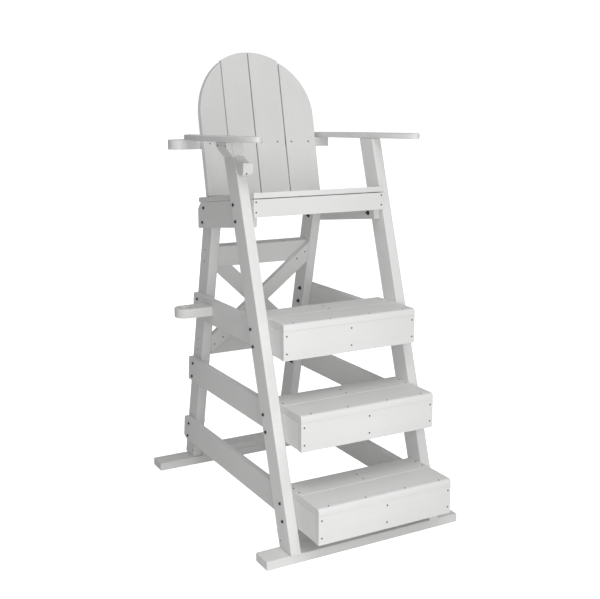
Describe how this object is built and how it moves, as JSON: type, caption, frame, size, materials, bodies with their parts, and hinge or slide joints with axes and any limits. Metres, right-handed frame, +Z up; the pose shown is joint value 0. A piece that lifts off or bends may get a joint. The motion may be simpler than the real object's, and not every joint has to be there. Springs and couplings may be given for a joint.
{
  "type": "elevated lifeguard chair",
  "caption": "Tall lifeguard chair of white plastic lumber with boxed front steps, slatted arched back, arm rests, braced rear legs and umbrella pole boards.",
  "frame": {"origin": "on the ground under the middle of the front runner", "axes": "+Z up, the chair faces -Y, +X is its right side as seen from the front"},
  "size_m": [0.829, 1.2585, 1.7845],
  "materials": {
    "white_lumber": "satin white plastic lumber"
  },
  "bodies": {
    "root": {"back_crossboard": "white_lumber", "back_slat_1": "white_lumber", "back_slat_2": "white_lumber", "back_slat_3": "white_lumber", "back_slat_4": "white_lumber", "front_brace": "white_lumber", "front_runner": "white_lumber", "hook_block": "white_lumber", "left_arm": "white_lumber", "left_arm_corbel": "white_lumber", "left_front_leg": "white_lumber", "left_rear_leg": "white_lumber", "left_seat_rail": "white_lumber", "left_step_rail_1": "white_lumber", "left_step_rail_2": "white_lumber", "left_step_rail_3": "white_lumber", "lower_cross_rail": "white_lumber", "lower_umbrella_board": "white_lumber", "rear_base_board": "white_lumber", "rear_brace": "white_lumber", "rear_runner": "white_lumber", "right_arm": "white_lumber", "right_front_leg": "white_lumber", "right_rear_leg": "white_lumber", "right_seat_rail": "white_lumber", "right_step_rail_1": "white_lumber", "right_step_rail_2": "white_lumber", "right_step_rail_3": "white_lumber", "seat_apron": "white_lumber", "seat_plank_1": "white_lumber", "seat_plank_2": "white_lumber", "seat_plank_3": "white_lumber", "seat_plank_4": "white_lumber", "step_cleat_1": "white_lumber", "step_cleat_2": "white_lumber", "step_cleat_3": "white_lumber", "step_riser_1": "white_lumber", "step_riser_2": "white_lumber", "step_riser_3": "white_lumber", "step_tread_front_1": "white_lumber", "step_tread_front_2": "white_lumber", "step_tread_front_3": "white_lumber", "step_tread_rear_1": "white_lumber", "step_tread_rear_2": "white_lumber", "step_tread_rear_3": "white_lumber", "upper_cross_rail": "white_lumber"}
  },
  "joints": []
}
